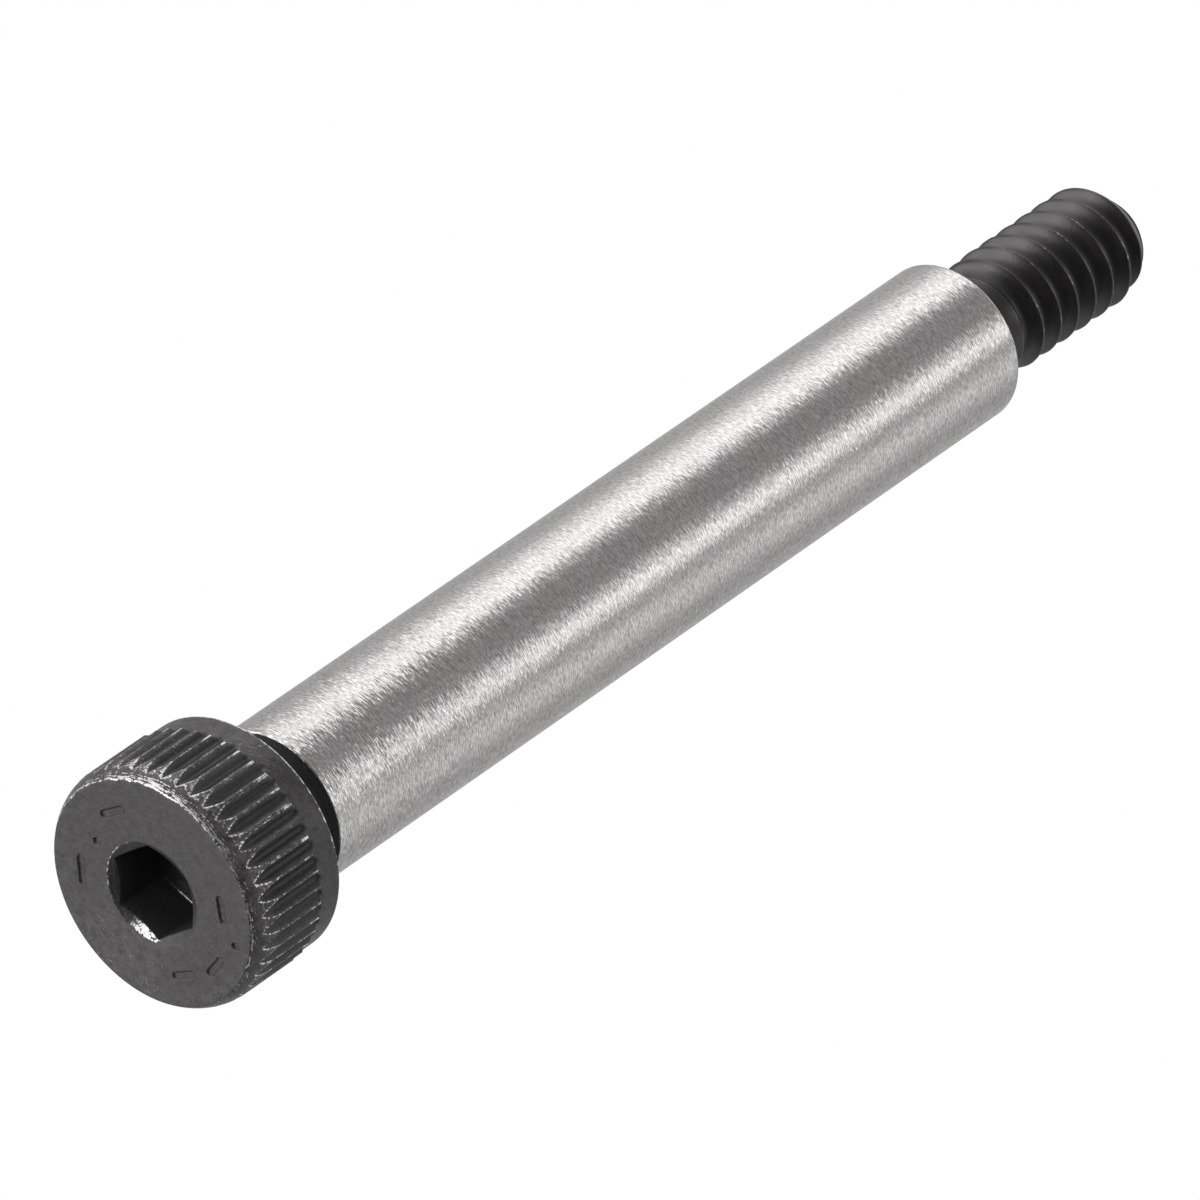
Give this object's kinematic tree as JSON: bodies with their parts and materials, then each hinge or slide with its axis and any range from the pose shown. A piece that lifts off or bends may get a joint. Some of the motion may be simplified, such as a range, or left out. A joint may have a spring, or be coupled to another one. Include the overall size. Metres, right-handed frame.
{
  "type": "shoulder bolt",
  "caption": "Shoulder bolt with a knurled round head, a hexagon socket, a long ground shoulder that a lever turns on, and a shorter threaded end.",
  "frame": {"origin": "centre of the head's flat face, which the bolt stands on", "axes": "+Z along the bolt's axis, from the head to the tip of the thread; +X through one corner of the hexagon socket"},
  "size_m": [0.0094, 0.0094, 0.0556],
  "materials": {
    "ground_steel": "ground round the shoulder, with fine scratches that run round it",
    "black_oxide": "black oxide on the head, the undercut and the thread, satin, with a few bright worn edges"
  },
  "bodies": {
    "root": {"shoulder_bolt": "ground_steel"}
  },
  "joints": []
}
